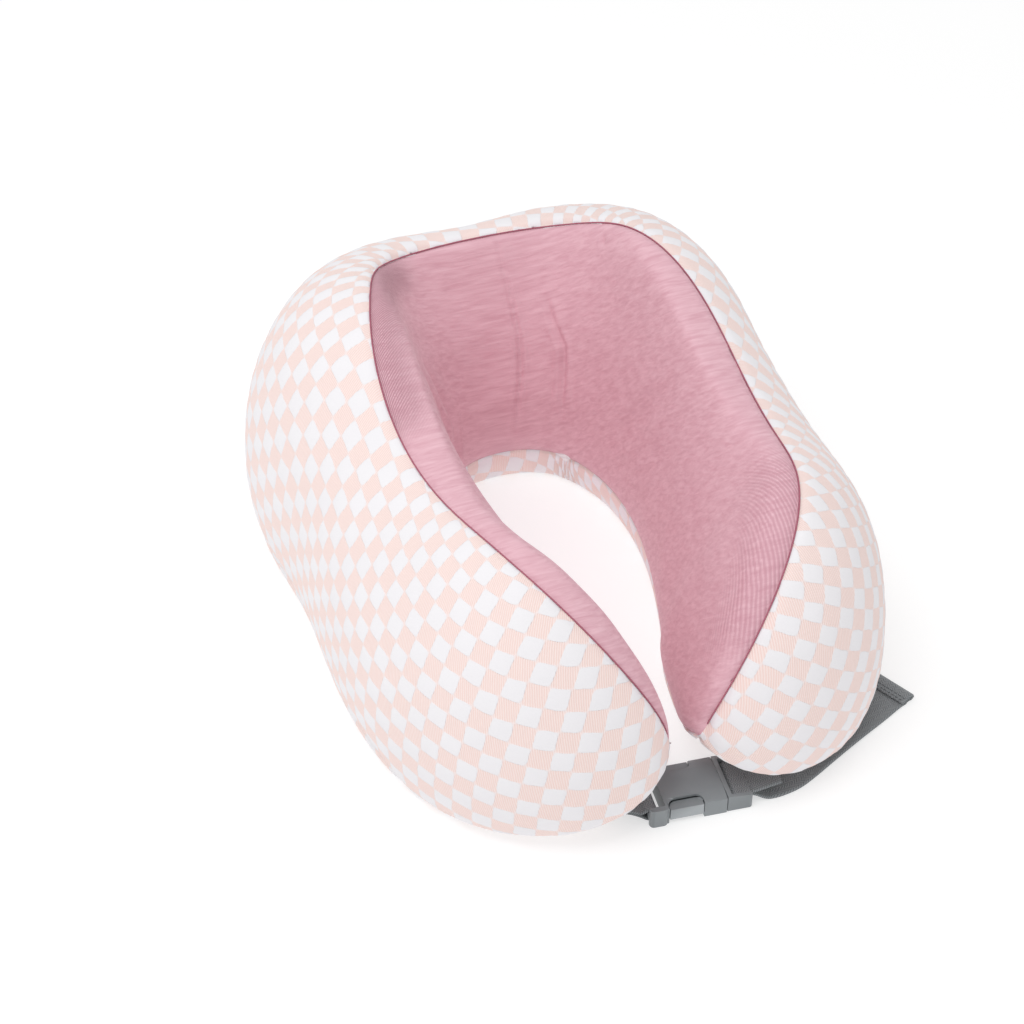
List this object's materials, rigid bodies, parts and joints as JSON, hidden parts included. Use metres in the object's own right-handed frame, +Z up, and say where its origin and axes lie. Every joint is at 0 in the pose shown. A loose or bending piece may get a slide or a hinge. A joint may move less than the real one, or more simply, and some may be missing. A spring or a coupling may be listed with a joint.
{
  "type": "neck pillow",
  "caption": "U shaped memory foam travel neck pillow with a two fabric zipped cover and a webbing strap with a side release buckle across its open end",
  "frame": {"origin": "on the resting plane, under the middle of the neck opening, in the plane of symmetry of the pillow", "axes": "+Z up, +Y to the back of the neck, -Y to the open end with the buckle, X across the pillow"},
  "size_m": [0.2422, 0.3214, 0.1372],
  "materials": {
    "memory_foam": "open cell slow foam, matte",
    "liner_knit": "thin white knit",
    "checker_jacquard": "white and pale peach checked jacquard knit",
    "rose_crepe": "dusty rose crinkled stretch knit",
    "zipper_tape": "woven polyester tape",
    "zipper_nylon": "nylon coil",
    "zipper_metal": "painted zinc casting",
    "grey_acetal": "moulded acetal, satin",
    "grey_webbing": "plain woven polyester webbing",
    "thread": "polyester sewing thread"
  },
  "bodies": {
    "pillow": {"foam_core": "memory_foam", "liner_upper": "liner_knit", "liner_lower": "liner_knit", "outer_panel": "checker_jacquard", "inner_panel": "rose_crepe", "base_panel": "checker_jacquard", "zipper_tape_upper": "zipper_tape", "zipper_tape_lower": "zipper_tape", "zipper_coil_upper": "zipper_nylon", "zipper_coil_lower": "zipper_nylon", "zipper_bottom_stop": "zipper_metal", "zipper_top_stops": "zipper_metal", "strap_left": "grey_webbing", "strap_right": "grey_webbing", "bar_tack_left": "thread", "bar_tack_right": "thread"},
    "female_half": {"buckle_female": "grey_acetal"},
    "male_half": {"buckle_male": "grey_acetal", "strap_tail": "grey_webbing"},
    "front_prong": {"buckle_prong_front": "grey_acetal"},
    "rear_prong": {"buckle_prong_rear": "grey_acetal"},
    "slider": {"zipper_slider": "zipper_metal"},
    "pull_tab": {"zipper_pull_tab": "zipper_metal"}
  },
  "joints": [
    {"name": "female_pull_out", "type": "slide", "parent": "pillow", "child": "female_half", "axis": [-0.9945, 0.1045, 0], "range_m": [0, 0.0124], "deforming": ["strap_left", "buckle_prong_front", "buckle_prong_rear"]},
    {"name": "male_pull_out", "type": "slide", "parent": "pillow", "child": "male_half", "axis": [0.9945, -0.1045, 0], "range_m": [0, 0.0124], "deforming": ["strap_right"]},
    {"name": "front_prong_squeeze", "type": "hinge", "parent": "male_half", "child": "front_prong", "pos_m": [0.01491, -0.15899, 0.0047], "axis": [0, 0, -1], "range_deg": [0, 5], "stiffness_Nm_per_rad": 0.05},
    {"name": "rear_prong_squeeze", "type": "hinge", "parent": "male_half", "child": "rear_prong", "pos_m": [0.01677, -0.14129, 0.0047], "axis": [0, 0, 1], "range_deg": [0, 5], "stiffness_Nm_per_rad": 0.05},
    {"name": "zipper_slide", "type": "slide", "parent": "pillow", "child": "slider", "axis": [1, 0, 0], "range_m": [-0.076, 0], "deforming": ["zipper_coil_upper", "zipper_coil_lower"]},
    {"name": "pull_tab_swing", "type": "hinge", "parent": "slider", "child": "pull_tab", "pos_m": [0.036, 0.15299, 0.01], "axis": [0, 0, -1], "range_deg": [0, 175]}
  ],
  "couplings": [
    {"joint": "male_pull_out", "follows": "female_pull_out", "ratio": 1}
  ]
}
